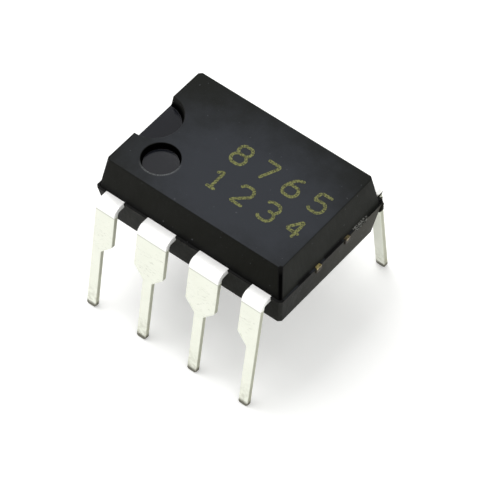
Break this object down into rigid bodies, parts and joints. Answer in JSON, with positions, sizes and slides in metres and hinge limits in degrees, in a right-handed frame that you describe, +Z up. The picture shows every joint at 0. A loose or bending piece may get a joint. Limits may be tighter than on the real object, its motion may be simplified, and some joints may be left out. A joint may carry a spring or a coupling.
{
  "type": "dual in-line integrated circuit",
  "caption": "Integrated circuit in a dual in-line package: a drafted black moulded body, notched at one end, on two rows of bent and tapered leads.",
  "frame": {"origin": "on the surface that the lead tips stand on, under the centre of the body", "axes": "+X along the body away from the notched end, +Y across the body from leads 1 to 4 towards leads 5 to 8, +Z up out of the top face"},
  "size_m": [0.0092, 0.009, 0.0072],
  "materials": {
    "moulding_compound": "fine matt, slightly shiny top",
    "tinned_lead": "satin tin plate",
    "bare_copper": "sheared copper alloy",
    "die_attach_paste": "cured silver paste",
    "silicon": "polished",
    "gold_wire": "bright"
  },
  "bodies": {
    "root": {"package_body": "moulding_compound", "lead_1": "tinned_lead", "lead_2": "tinned_lead", "lead_3": "tinned_lead", "lead_4": "tinned_lead", "lead_5": "tinned_lead", "lead_6": "tinned_lead", "lead_7": "tinned_lead", "lead_8": "tinned_lead", "die_pad": "bare_copper", "die_attach": "die_attach_paste", "silicon_die": "silicon", "bond_wire_1": "gold_wire", "bond_wire_2": "gold_wire", "bond_wire_3": "gold_wire", "bond_wire_4": "gold_wire", "bond_wire_5": "gold_wire", "bond_wire_6": "gold_wire", "bond_wire_7": "gold_wire", "bond_wire_8": "gold_wire"}
  },
  "joints": []
}
